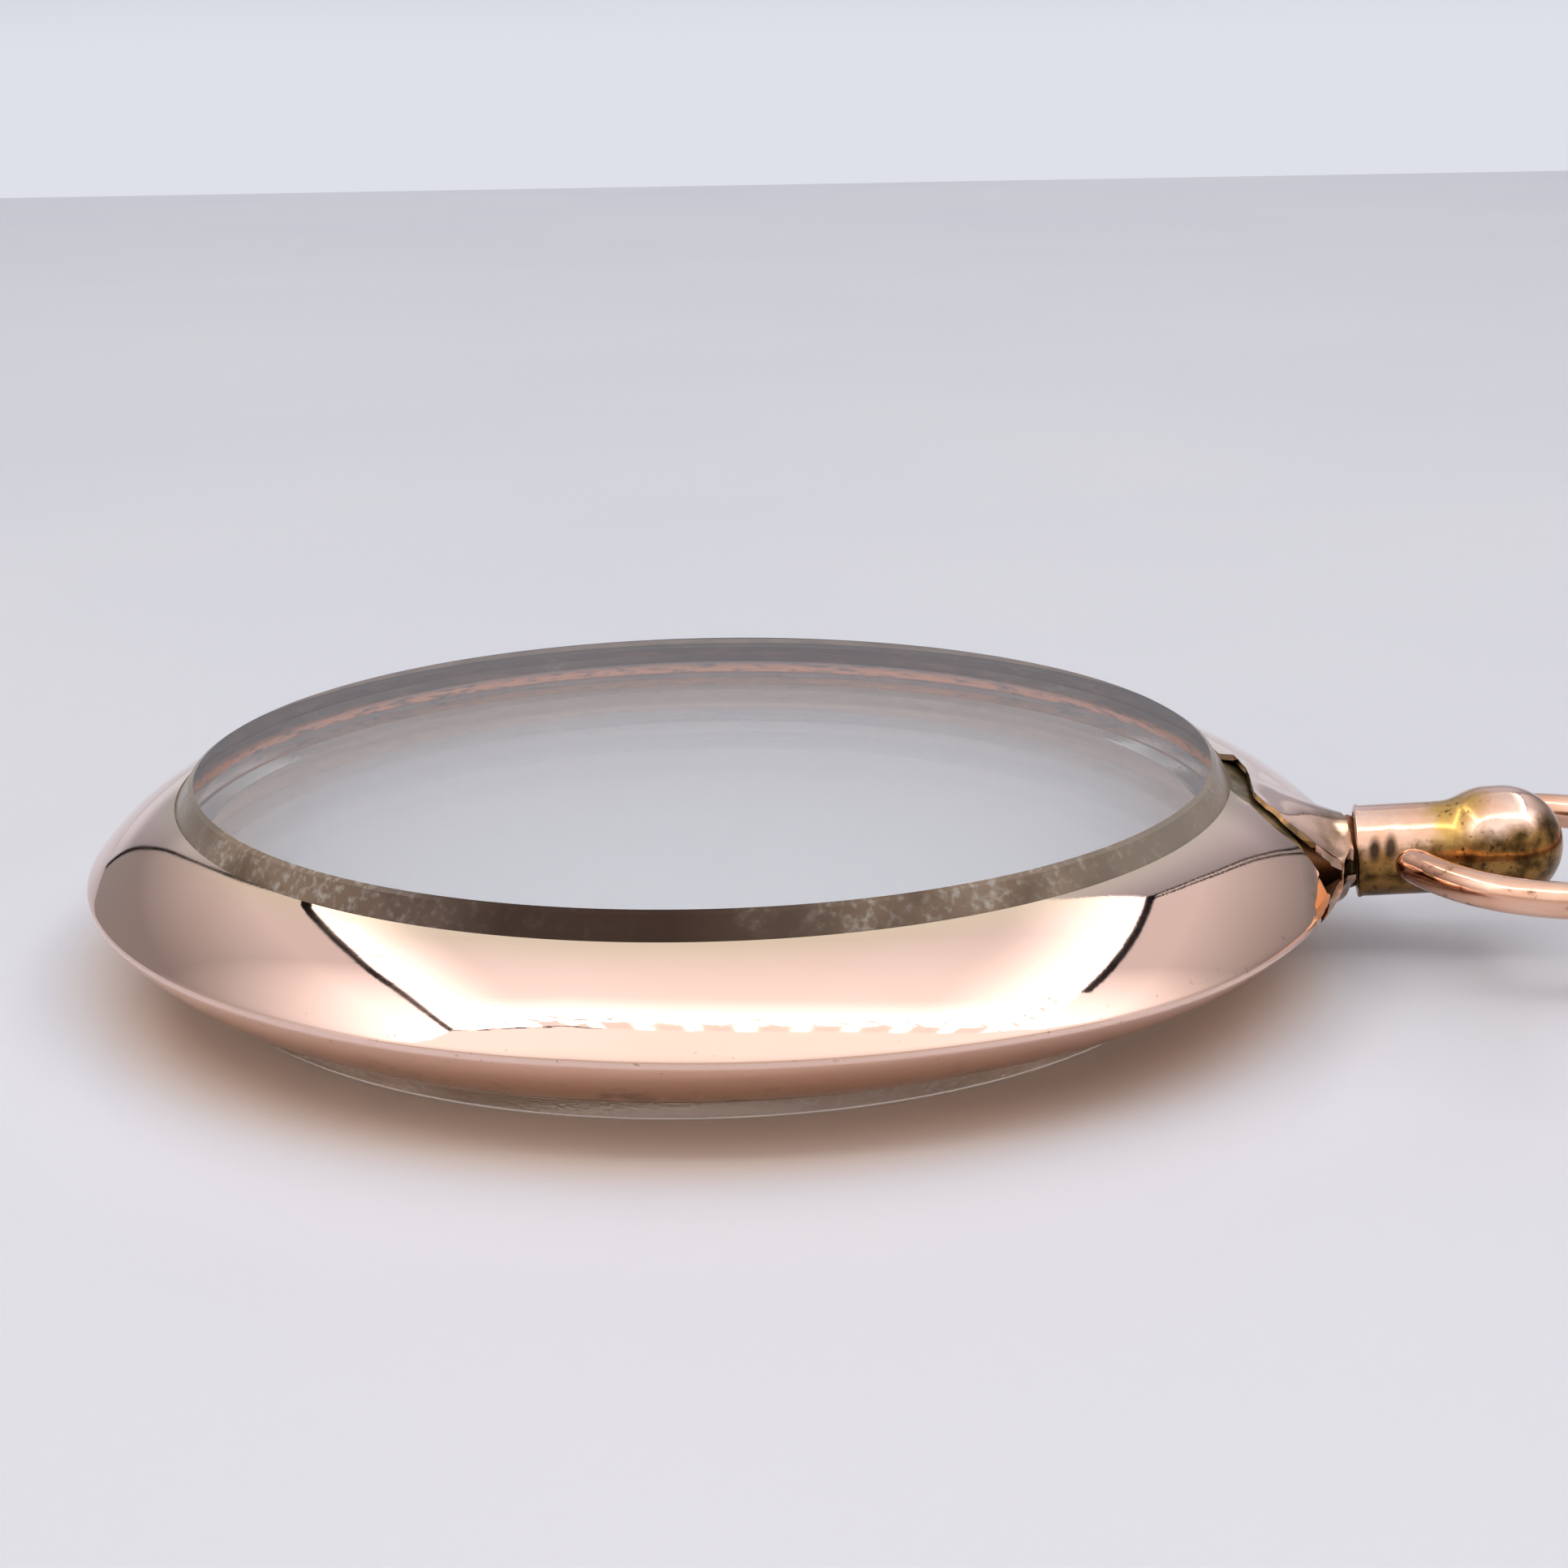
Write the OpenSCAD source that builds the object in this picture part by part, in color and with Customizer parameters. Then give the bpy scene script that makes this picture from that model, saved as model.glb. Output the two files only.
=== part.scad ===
// Double-sided glass locket: a hollow split ring of rose gold holds two bevelled glass discs.
// The ring is drawn out a little towards its neck and is split beside it, where it springs open.
// A collar on one end holds a threaded post. A screw cap with a ball end goes over the post, and
// a wire bow pivots in the sides of the cap.
// The locket lies on its lower glass. +Z is up and +X runs along the neck towards the bow.

/* [Ring frame] */
// Radius of the ring at its outer seam
ring_r = 17; // [15:0.1:20]
// Radius of the opening inside each lip
lip_r = 14.52; // [13.5:0.02:15]
// Height of each lip above or below the seam
lip_rise = 1.95; // [1.6:0.05:2.3]
// Slope of the shell where it leaves the lip, in degrees
lip_slope = 21; // [10:1:30]
// Radius of the soldered seam round the outside
seam_r = 0.22; // [0.15:0.01:0.35]
// Thickness of the gold sheet
sheet_t = 0.34; // [0.28:0.02:0.45]
// How far the ring is drawn out towards the neck
drawn_out = 0.75; // [0.3:0.05:0.85]
// Radius of the collar where it leaves the shell
collar_root_r = 1.75; // [1.5:0.05:2]
// Radius of the collar at its end
collar_end_r = 1.18; // [1.1:0.02:1.3]

/* [Glasses] */
// Total height over both glass faces
total_h = 5.1; // [4.8:0.05:6]
// Radius of each outer glass face
face_r = 14.07; // [13:0.01:14.3]
// Radius of each disc below its bevel
disc_r = 14.92; // [14.6:0.02:15]
// Slope of the bevel, as outward run for each unit of height
bevel_run = 0.66; // [0.5:0.02:0.8]
// Thickness of each disc
disc_t = 2.05; // [1.8:0.05:2.2]
// Width of the tiny chamfer round each outer face
arris = 0.08; // [0.04:0.01:0.15]

/* [Neck and cap] */
// Upward lean of the neck and cap, in degrees
neck_lean = 5; // [0:0.5:8]
// Radius of the threaded post
post_r = 1.0; // [0.9:0.02:1.04]
// Length of post inside the cap
post_in = 0.95; // [0.6:0.05:1]
// Distance of the cap's mouth from the ring's centre
mouth_x = 17.9; // [17.85:0.01:18.2]
// Outside radius of the cap's sleeve
sleeve_r = 1.235; // [1.2:0.005:1.4]
// Radius of the ball at the cap's end
ball_r = 1.58; // [1.4:0.02:1.8]
// Distance from the mouth to the far centre of the ball
ball_x = 3.86; // [3.6:0.02:4.2]
// Straight length inside the slightly drawn-out ball
ball_stretch = 0.3; // [0.1:0.05:0.5]
// Radius of the fillet between the sleeve and the ball
fillet_r = 1.25; // [0.8:0.05:1.6]

/* [Bow] */
// Distance of the bow's pivot from the cap's mouth
pivot_x = 1.36; // [1.3:0.02:1.5]
// Radius of the bow's wire
wire_r = 0.475; // [0.4:0.005:0.55]
// Radius of the bow along the middle of its wire
bow_r = 4.06; // [3.8:0.02:4.4]
// Distance from the pivot to the middle of the bow
bow_out = 3.92; // [3.7:0.02:4.2]
// Radius of the pegs at the ends of the bow
peg_r = 0.3; // [0.25:0.01:0.34]

/* [Hidden] */
$fn = 96;
eps = 0.01;
// Running clearance between moving metal, and between the glass and the gold
run_gap = 0.04;
glass_gap = 0.06;
mid_z = total_h / 2;

// Shell section: two equal arcs that meet at the seam, worked out from the lip and its slope
chord = norm([ring_r - lip_r, lip_rise]);
half_turn = atan2(lip_rise, ring_r - lip_r) - lip_slope;
arc_r = chord / (2 * sin(half_turn));
arc_x = lip_r - arc_r * sin(lip_slope);
arc_drop = arc_r * cos(lip_slope) - lip_rise;
seam_x = arc_x + sqrt(pow(arc_r - seam_r, 2) - pow(arc_drop, 2));
seam_join_x = arc_x + (seam_x - arc_x) * arc_r / (arc_r - seam_r);

// Inner band and the ledge that keeps the discs apart
band_r = disc_r + glass_gap;
band_t = 0.3;
glass_space = total_h - 2 * disc_t;
ledge_r = 14.62;
ledge_half = glass_space / 2 - glass_gap;
bevel_h = (disc_r - face_r) / bevel_run;
section_from_x = 12;

// Edges of the split seen from above, from the glass outwards: a wide uneven gap in the upper
// shell, and a narrow slit in the lower shell below the same near edge
far_edge = [
    [13.4, 0.95], [14.9, 0.78], [15.05, -0.6], [15.45, -1.55],
    [16.25, -2.2], [17.15, -1.9], [17.6, -1.5], [18.4, -1.5]
];
near_edge = [
    [13.4, 0.8], [14.5, 0.3], [14.8, -1.8], [15.7, -2.95], [16.3, -3.2],
    [16.7, -3.7], [16.6, -5.3], [16.9, -6.1], [18.4, -6.4]
];
lower_far_edge = [
    [13.4, 0.95], [14.64, 0.45], [14.95, -1.72], [15.8, -2.82], [16.4, -3.1],
    [16.85, -3.65], [16.76, -5.25], [17.05, -5.98], [18.4, -6.25]
];

// Neck: the line about which the post and the cap lie starts inside the ring
neck_root_x = 16.2;
post_root_x = 15.6;
collar_root_x = 15.6;
collar_end_x = 17.65;
collar_drop = 0.1;
thread_pitch = 0.3;
thread_depth = 0.06;
mouth_bead_r = 0.07;
sleeve_bore_r = post_r + 0.05;
sleeve_bore_depth = post_in + 0.12;
peg_hole_r = peg_r + run_gap;
peg_hole_bottom = 0.6;
peg_tip = peg_hole_bottom + run_gap;

// Bow: its arc stops where the taper to the pegs begins
taper_start_y = 2.0;
taper_end_y = 1.32;
bow_open = asin(taper_start_y / bow_r);
taper_start_x = bow_out - bow_r * cos(bow_open);
taper_len = (taper_start_y - taper_end_y) / cos(bow_open);
elbow_r = peg_r + 0.015;
joint_lap = 0.06;
pivot_at = neck_point(mouth_x + pivot_x);

// A point on the leaning line of the neck, by its distance from the ring's centre
function neck_point(x) = [
    neck_root_x + (x - neck_root_x) * cos(neck_lean),
    0,
    mid_z + (x - neck_root_x) * sin(neck_lean)
];

// Turns flat children so that their Y runs along the neck, starting at x
module along_neck(x) {
    translate(neck_point(x)) rotate([0, 90 - neck_lean, 0]) children();
}

// Lens between two arcs, inset from the outer surface of the shell
module lens_2d(inset) {
    intersection() {
        translate([arc_x, -arc_drop]) circle(r = arc_r - inset);
        translate([arc_x, arc_drop]) circle(r = arc_r - inset);
        translate([section_from_x, -lip_rise * 2]) square([seam_join_x - section_from_x, lip_rise * 4]);
    }
}

// Outline of the ring's section: both shells and the soldered seam between them
module section_2d() {
    lens_2d(0);
    translate([seam_x, 0]) circle(r = seam_r);
}

// Sweeps a section round the ring: two half circles, set apart along X by the drawn-out length
module sweep_ring() {
    rotate([0, 0, 90]) rotate_extrude(angle = 180) children();
    translate([drawn_out, 0, 0]) rotate([0, 0, -90]) rotate_extrude(angle = 180) children();
    for (side = [0, 1])
        mirror([0, side, 0]) rotate([90, 0, 90]) linear_extrude(drawn_out) children();
}

// The collar's cone, inset from its outer surface
module collar(inset) {
    root = neck_point(collar_root_x);
    translate([root[0], 0, root[2] - mid_z - collar_drop])
        rotate([0, 90 - neck_lean, 0])
            cylinder(
                r1 = collar_root_r - inset,
                r2 = collar_end_r - inset,
                h = collar_end_x - collar_root_x
            );
}

// The hollow inside the sheet, which the band closes towards the glasses
module hollow() {
    difference() {
        sweep_ring() lens_2d(sheet_t);
        cylinder(r = band_r + band_t, h = total_h, center = true);
    }
    collar(sheet_t);
}

// Room for both glasses: sloped along their bevels, and narrower at the ledge between them
module glass_room() {
    rotate_extrude()
        polygon([
            [0, -mid_z - 1],
            [face_r + glass_gap, -mid_z - 1],
            [face_r + glass_gap, -mid_z],
            [band_r, bevel_h - mid_z],
            [band_r, -ledge_half],
            [ledge_r, -ledge_half],
            [ledge_r, ledge_half],
            [band_r, ledge_half],
            [band_r, mid_z - bevel_h],
            [face_r + glass_gap, mid_z],
            [face_r + glass_gap, mid_z + 1],
            [0, mid_z + 1]
        ]);
}

// A cut through the shell between two edges seen from above
module split_cut(edge_a, edge_b, z_from, z_to) {
    backwards = [for (i = [len(edge_b) - 1 : -1 : 0]) edge_b[i]];
    translate([0, 0, z_from]) linear_extrude(z_to - z_from) polygon(concat(edge_a, backwards));
}

module post() {
    post_len = mouth_x + post_in - post_root_x;
    threaded_from = mouth_x - post_root_x - 0.75;
    along_neck(post_root_x)
        rotate_extrude() {
            square([post_r - thread_depth, post_len]);
            square([post_r, threaded_from]);
            for (y = [threaded_from + thread_pitch : thread_pitch : post_len - thread_pitch])
                translate([0, y - thread_pitch / 2]) square([post_r, thread_pitch / 2]);
        }
}

module frame() {
    color([0.86, 0.62, 0.5]) {
        translate([0, 0, mid_z])
            difference() {
                union() {
                    sweep_ring() section_2d();
                    collar(0);
                }
                hollow();
                glass_room();
                split_cut(far_edge, near_edge, 0, 4);
                split_cut(lower_far_edge, near_edge, -4, 0.1);
            }
        post();
    }
}

// One disc with its face up and its seat at z = 0
module disc() {
    rotate_extrude()
        polygon([
            [0, 0],
            [disc_r, 0],
            [disc_r, disc_t - bevel_h],
            [face_r + arris * bevel_run, disc_t - arris],
            [face_r - arris, disc_t],
            [0, disc_t]
        ]);
}

module upper_glass() {
    color([0.8, 0.85, 0.88, 0.5]) translate([0, 0, total_h - disc_t]) disc();
}

module lower_glass() {
    color([0.75, 0.82, 0.86, 0.5]) translate([0, 0, disc_t]) mirror([0, 0, 1]) disc();
}

module cap_outline_2d() {
    near_ball = ball_x - ball_stretch;
    fillet_back = sqrt(pow(ball_r + fillet_r, 2) - pow(sleeve_r + fillet_r, 2));
    fillet_x = near_ball - fillet_back;
    touch = ball_r / (ball_r + fillet_r);
    touch_x = near_ball - fillet_back * touch;
    touch_y = (sleeve_r + fillet_r) * touch;
    square([sleeve_r, near_ball]);
    translate([sleeve_r - mouth_bead_r / 2, mouth_bead_r]) circle(r = mouth_bead_r);
    translate([0, near_ball]) circle(r = ball_r);
    translate([0, ball_x]) circle(r = ball_r);
    translate([0, near_ball]) square([ball_r, ball_stretch]);
    difference() {
        translate([0, fillet_x]) square([touch_y, touch_x - fillet_x]);
        translate([sleeve_r + fillet_r, fillet_x]) circle(r = fillet_r);
    }
}

module screw_cap() {
    color([0.85, 0.64, 0.42])
    difference() {
        along_neck(mouth_x)
            rotate_extrude()
                intersection() {
                    cap_outline_2d();
                    square([ball_r + 1, ball_x + ball_r + 1]);
                }
        along_neck(mouth_x) translate([0, 0, -1]) cylinder(r = sleeve_bore_r, h = sleeve_bore_depth + 1);
        for (side = [-1, 1])
            translate(pivot_at)
                rotate([side * -90, 0, 0])
                    translate([0, 0, peg_hole_bottom]) cylinder(r = peg_hole_r, h = 2);
    }
}

// One end of the bow: taper, elbow and peg, on the +Y side
module bow_end() {
    translate([taper_start_x, taper_start_y, 0])
        rotate([0, 0, -bow_open])
            rotate([90, 0, 0])
                translate([0, 0, -joint_lap])
                    cylinder(r1 = wire_r - joint_lap / 4, r2 = peg_r, h = taper_len + joint_lap);
    translate([0, taper_end_y, 0]) sphere(r = elbow_r);
    translate([0, taper_end_y, 0]) rotate([90, 0, 0]) cylinder(r = peg_r, h = taper_end_y - peg_tip);
}

module bow() {
    color([0.88, 0.6, 0.48])
    translate(pivot_at) {
        translate([bow_out, 0, 0])
            rotate([0, 0, bow_open - 180])
                rotate_extrude(angle = 360 - 2 * bow_open)
                    translate([bow_r, 0]) circle(r = wire_r);
        bow_end();
        mirror([0, 1, 0]) bow_end();
    }
}

frame();
upper_glass();
lower_glass();
screw_cap();
bow();
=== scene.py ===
import math

import bpy
from mathutils import Matrix, Vector, noise


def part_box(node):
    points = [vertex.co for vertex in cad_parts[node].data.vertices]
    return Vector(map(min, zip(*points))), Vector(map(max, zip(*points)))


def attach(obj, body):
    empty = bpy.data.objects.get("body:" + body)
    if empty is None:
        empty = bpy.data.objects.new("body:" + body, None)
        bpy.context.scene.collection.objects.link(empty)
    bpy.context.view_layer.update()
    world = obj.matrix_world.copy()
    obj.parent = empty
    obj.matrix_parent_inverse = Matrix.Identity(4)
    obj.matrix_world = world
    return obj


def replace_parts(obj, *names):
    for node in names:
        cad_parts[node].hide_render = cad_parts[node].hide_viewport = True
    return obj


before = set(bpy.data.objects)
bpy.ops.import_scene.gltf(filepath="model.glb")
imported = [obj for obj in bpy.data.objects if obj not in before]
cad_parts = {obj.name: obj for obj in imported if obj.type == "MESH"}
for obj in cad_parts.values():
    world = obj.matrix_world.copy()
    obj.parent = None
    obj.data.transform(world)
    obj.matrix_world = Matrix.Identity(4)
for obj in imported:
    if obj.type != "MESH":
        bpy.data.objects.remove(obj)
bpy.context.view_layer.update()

MM = 0.001

# Camera
# A close view from the front, a little above the locket and turned so that the neck points to
# the right and slightly away. It leans by about a degree, as a camera held by hand does.
camera_at = Vector((13.195, -66.273, 23.37)) * MM
aim_at = Vector((2.8, -3.423, 5.1)) * MM
camera_lean = math.radians(0.918)
bpy.ops.object.camera_add(location=camera_at)
camera = bpy.context.object
look = (aim_at - camera_at).to_track_quat("-Z", "Y").to_matrix()
camera.rotation_euler = (look @ Matrix.Rotation(-camera_lean, 3, "Z")).to_euler()
camera.data.lens = 57.38
camera.data.sensor_width = 36
camera.data.clip_start = 5 * MM
camera.data.clip_end = 3
bpy.context.scene.camera = camera

# Floor, backdrop and light tent
# The locket lies on a pale smooth slab inside a white fabric light tent. The tent's roof glows
# and has rows of lamps along its edges, its sides are dimmer, and dark seams run up its corners.


def linear(hex_colour):
    """Turns an sRGB hex colour into the linear values that a shader takes."""
    parts = [int(hex_colour[i:i + 2], 16) / 255 for i in (0, 2, 4)]
    return [p / 12.92 if p <= 0.04045 else ((p + 0.055) / 1.055) ** 2.4 for p in parts] + [1]


def new_material(name):
    """Makes an empty node material."""
    material = bpy.data.materials.new(name)
    material.use_nodes = True
    material.node_tree.nodes.clear()
    return material


def add_node(material, kind, sockets=None, **settings):
    """Adds a node with its settings, sets or links its sockets, and returns its outputs."""
    made = material.node_tree.nodes.new("ShaderNode" + kind)
    for name, value in settings.items():
        setattr(made, name, value)
    for socket, value in (sockets or {}).items():
        if isinstance(value, bpy.types.NodeSocket):
            material.node_tree.links.new(value, made.inputs[socket])
        else:
            made.inputs[socket].default_value = value
    return made.outputs


tent_turn = math.radians(11.26)
tent_height = 528 * MM
tent_left = -0.715 * tent_height
left_back = -0.625 * tent_height
tent_right = 0.72 * tent_height
slab_end = 0.88 * tent_height
tent_back = tent_height
tent_front = -0.43 * tent_height
flap_foot = 0.15 * tent_height
floor_sink = 0.02 * MM
lamp_pitch = 44 * MM
tooth_pitch = lamp_pitch / 0.7
tent_wide = tent_right - tent_left
tent_deep = tent_back - tent_front


def tent_axes(material):
    """The tent's own across, away and up distances, in metres, as three outputs."""
    place = add_node(material, "TexCoord")["Object"]
    facing = add_node(material, "Mapping", {"Vector": place, "Rotation": (0, 0, -tent_turn)})
    return add_node(material, "SeparateXYZ", {"Vector": facing["Vector"]})


def tent_sheet(name, corner, along, up, material, seen=False):
    """One flat sheet of the tent, from a corner and two edges, in the tent's own turned axes."""
    bpy.ops.object.select_all(action="DESELECT")
    bpy.ops.mesh.primitive_plane_add(size=1)
    sheet = bpy.context.object
    sheet.name = name
    corner, along, up = Vector(corner), Vector(along), Vector(up)
    turn = Matrix.Rotation(tent_turn, 4, "Z")
    spots = [corner, corner + along, corner + up, corner + along + up]
    for vertex, spot in zip(sheet.data.vertices, spots):
        vertex.co = turn @ spot
    sheet.data.materials.append(material)
    sheet.visible_camera = seen


# White cloth lit from behind: brightest in front, with a soft glow along each row of lamps
roof_cloth = new_material("white tent roof")
across, away, _ = tent_axes(roof_cloth)
glow_reach = 0.34 * tent_height
roof_light = add_node(roof_cloth, "MapRange", {
    "Value": away, "From Min": -0.35 * tent_height, "From Max": 0.55 * tent_height,
    "To Min": 1.42, "To Max": 0.9})[0]
for side, row_at, inward in ((across, tent_left, 1), (across, tent_right, -1), (away, tent_front, 1)):
    lamp_glow = add_node(roof_cloth, "MapRange", {
        "Value": side, "From Min": row_at, "From Max": row_at + inward * glow_reach,
        "To Min": 1.5, "To Max": 0}, interpolation_type="SMOOTHSTEP")[0]
    roof_light = add_node(roof_cloth, "Math", {0: roof_light, 1: lamp_glow}, operation="ADD")[0]
roof_shader = add_node(roof_cloth, "Emission", {"Color": linear("ffffff"), "Strength": roof_light})
add_node(roof_cloth, "OutputMaterial", {"Surface": roof_shader["Emission"]})

# Side cloth: dim low down, lighter towards the roof and beside the open front
side_cloth = new_material("dim tent side")
_, away, height = tent_axes(side_cloth)
side_light = add_node(side_cloth, "MapRange", {
    "Value": height, "From Min": 0.25 * tent_height, "From Max": 0.75 * tent_height,
    "To Min": 0.3, "To Max": 0.82})[0]
front_light = add_node(side_cloth, "MapRange", {
    "Value": away, "From Min": tent_front, "From Max": 0.25 * tent_height, "To Min": 3.2, "To Max": 1})[0]
side_light = add_node(side_cloth, "Math", {0: side_light, 1: front_light}, operation="MULTIPLY")[0]
side_shader = add_node(side_cloth, "Emission", {"Color": linear("fffafa"), "Strength": side_light})
add_node(side_cloth, "OutputMaterial", {"Surface": side_shader["Emission"]})

# Backdrop cloth: evenly lit behind the locket, dimmer towards both corners and in a band above the
# slab, and bright again over the band
back_cloth = new_material("pale backdrop cloth")
across, _, height = tent_axes(back_cloth)
off_middle = add_node(back_cloth, "Math", {0: across}, operation="ABSOLUTE")[0]
back_light = 1.0
for distance, near, far, beyond in (
        (off_middle, 0.45, 0.8, 0.5), (height, 0.05, 0.16, 0.62), (height, 0.32, 0.46, 1.45)):
    band_light = add_node(back_cloth, "MapRange", {
        "Value": distance, "From Min": near * tent_height, "From Max": far * tent_height,
        "To Min": 1, "To Max": beyond}, interpolation_type="SMOOTHSTEP")[0]
    back_light = add_node(back_cloth, "Math", {0: back_light, 1: band_light}, operation="MULTIPLY")[0]
back_shader = add_node(back_cloth, "Emission", {"Color": linear("dee0ea"), "Strength": back_light})
add_node(back_cloth, "OutputMaterial", {"Surface": back_shader["Emission"]})

# Front flap: hangs over the opening and fades a little towards its foot
flap_cloth = new_material("tent front flap")
flap_light = add_node(flap_cloth, "MapRange", {
    "Value": tent_axes(flap_cloth)["Z"], "From Min": flap_foot, "From Max": 0.6 * tent_height,
    "To Min": 1.1, "To Max": 1.4})[0]
flap_shader = add_node(flap_cloth, "Emission", {"Color": linear("fffdfb"), "Strength": flap_light})
add_node(flap_cloth, "OutputMaterial", {"Surface": flap_shader["Emission"]})

# Seam cloth: folded and sewn several layers thick, so that almost no light comes through
seam_cloth = new_material("dark tent seam")
seam_shader = add_node(seam_cloth, "Emission", {"Color": linear("6a6068"), "Strength": 0.06})
add_node(seam_cloth, "OutputMaterial", {"Surface": seam_shader["Emission"]})

# Lamp rows: separate lamps behind thin cloth, bright at each lamp and dim between them
lamp_cloth = new_material("lamp row")
across, away, _ = tent_axes(lamp_cloth)
along = add_node(lamp_cloth, "Math", {0: across, 1: away}, operation="ADD")[0]
angle = add_node(lamp_cloth, "Math", {0: along, 1: 2 * math.pi / lamp_pitch}, operation="MULTIPLY")[0]
wave = add_node(lamp_cloth, "Math", {0: angle}, operation="SINE")[0]
lamp_light = add_node(lamp_cloth, "Math", {0: wave, 1: 7.5, 2: 8.0}, operation="MULTIPLY_ADD")[0]
lamp_shader = add_node(lamp_cloth, "Emission", {"Color": linear("fffdfa"), "Strength": lamp_light})
add_node(lamp_cloth, "OutputMaterial", {"Surface": lamp_shader["Emission"]})

# Row edge: the cloth beside the front row, where each lamp throws one bright tooth
tooth_cloth = new_material("lamp row edge")
across = tent_axes(tooth_cloth)["X"]
angle = add_node(tooth_cloth, "Math", {0: across, 1: 2 * math.pi / tooth_pitch}, operation="MULTIPLY")[0]
wave = add_node(tooth_cloth, "Math", {0: angle}, operation="SINE")[0]
tooth_light = add_node(tooth_cloth, "MapRange", {
    "Value": wave, "From Min": 0.3, "From Max": 0.9, "To Min": 1.2, "To Max": 5})[0]
tooth_shader = add_node(tooth_cloth, "Emission", {"Color": linear("fffdfa"), "Strength": tooth_light})
add_node(tooth_cloth, "OutputMaterial", {"Surface": tooth_shader["Emission"]})

tent_sheet("tent_roof", (tent_left, tent_front, tent_height), (tent_wide, 0, 0), (0, tent_deep, 0),
           roof_cloth)
left_lean = left_back - tent_left
tent_sheet("tent_left_side", (tent_left, tent_front, 0), (left_lean, tent_deep, 0), (0, 0, tent_height),
           side_cloth)
tent_sheet("tent_right_side", (tent_right, tent_front, 0), (0, tent_deep, 0), (0, 0, tent_height),
           side_cloth)
tent_sheet("backdrop", (2 * tent_left, tent_back, -MM), (4 * tent_wide, 0, 0), (0, 0, tent_height),
           back_cloth, seen=True)
tent_sheet("backdrop_foot", (2 * tent_left, slab_end, -MM), (4 * tent_wide, 0, 0),
           (0, tent_back - slab_end, 0), back_cloth, seen=True)
tent_sheet("tent_front_flap", (tent_left, tent_front, flap_foot), (tent_wide, 0, 0),
           (0, 0, tent_height - flap_foot), flap_cloth)

row_level = tent_height - 4 * MM
row_wide = 0.05 * tent_height
row_inset = 0.035 * tent_height
row_share = 0.8
front_inset = 0.09 * tent_height
teeth_end = 0.065 * tent_height
teeth_left = 0.3 * tent_height
teeth_right = 0.1 * tent_height
tent_sheet("lamps_left", (tent_left + row_inset, tent_front, row_level), (row_wide, 0, 0),
           (row_share * left_lean, row_share * tent_deep, 0), lamp_cloth)
tent_sheet("lamps_right", (tent_right - row_inset - row_wide, tent_front, row_level), (row_wide, 0, 0),
           (0, row_share * tent_deep, 0), lamp_cloth)
tent_sheet("lamps_front", (tent_left + front_inset, tent_front + teeth_end, row_level),
           (tent_wide - 2 * front_inset, 0, 0), (0, row_wide, 0), lamp_cloth)
tent_sheet("lamp_teeth", (tent_left + teeth_left, tent_front, row_level),
           (tent_wide - teeth_left - teeth_right, 0, 0), (0, teeth_end, 0), tooth_cloth)

# Dark seams: a broad one in the far left corner, two narrow ones in the far right corner, and a
# thin one where each wall meets the roof
seam_wide = 0.035 * tent_height
thin_seam = 0.018 * tent_height
for name, corner, along in (
        ("seam_left", (left_back + 2 * MM, tent_back - seam_wide), (0, seam_wide)),
        ("seam_right_a", (tent_right - MM, tent_back - thin_seam), (0, thin_seam)),
        ("seam_right_b", (tent_right - MM, tent_back - 3 * thin_seam), (0, thin_seam))):
    tent_sheet(name, (*corner, 0), (*along, 0), (0, 0, tent_height), seam_cloth)
top_seam = 1.4 * seam_wide
tent_sheet("seam_left_top", (tent_left + MM, tent_front, tent_height - top_seam),
           (left_lean, tent_deep, 0), (0, 0, top_seam), seam_cloth)
tent_sheet("seam_right_top", (tent_right - MM, 0, tent_height - top_seam), (0, tent_back, 0),
           (0, 0, top_seam), seam_cloth)
front_seam = 1.5 * thin_seam
tent_sheet("seam_front_top", (tent_left, tent_front + MM, tent_height - front_seam),
           (0.4 * tent_height, 0, 0), (0, 0, front_seam), seam_cloth)

# Where a tone lies that covers the whole surface
all_over = 1.0


def lay_tones(material, place, tone, *layers):
    """Lays tones over a tone. Each has a colour, how strong it gets and where it lies. A cloudy one
    also has a grain in millimetres, its detail, and the noise at which it starts and is full."""
    for hex_colour, most, where, *cloud in layers:
        share = most
        if cloud:
            grain, detail, start, full = cloud
            cloudy = add_node(material, "TexNoise", {
                "Vector": place, "Scale": 1 / (grain * MM), "Detail": detail})["Fac"]
            share = add_node(material, "MapRange", {
                "Value": cloudy, "From Min": start, "From Max": full, "To Max": most})[0]
        share = add_node(material, "Math", {0: share, 1: where}, operation="MULTIPLY")[0]
        tone = add_node(material, "Mix", {0: share, 6: tone, 7: linear(hex_colour)}, data_type="RGBA")[2]
    return tone


# Honed pale stone: even, slightly cloudy, with a soft sheen. Painted light: it is painted paler under
# the glass and round the ring's shadow, and warm beside the ring, for the light that the glass and the
# gold throw on it
slab = new_material("honed pale slab")
place = add_node(slab, "TexCoord")["Object"]
off_middle = add_node(slab, "VectorMath", {0: place}, operation="LENGTH")["Value"]
slab_tones = [("c7c7cd", 1, all_over, 60, 3, 0.3, 0.7)]
# Painted light in three rings: paler round the ring's shadow, warm beside the ring, paler under the glass
for near, far, painted_light_tone in ((18.5, 24, "cbcbd2"), (15.5, 18.6, "d4c2b6"), (11, 14.5, "d7d8df")):
    painted_light_share = add_node(slab, "MapRange", {
        "Value": off_middle, "From Min": near * MM, "From Max": far * MM, "To Min": 1, "To Max": 0},
        interpolation_type="SMOOTHSTEP")[0]
    slab_tones.append((painted_light_tone, 1, painted_light_share))
slab_tone = lay_tones(slab, place, linear("c1c2ca"), *slab_tones)
slab_shader = add_node(slab, "BsdfPrincipled", {
    "Base Color": slab_tone, "Roughness": 0.3, "Specular IOR Level": 0.3})
add_node(slab, "OutputMaterial", {"Surface": slab_shader["BSDF"]})
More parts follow.
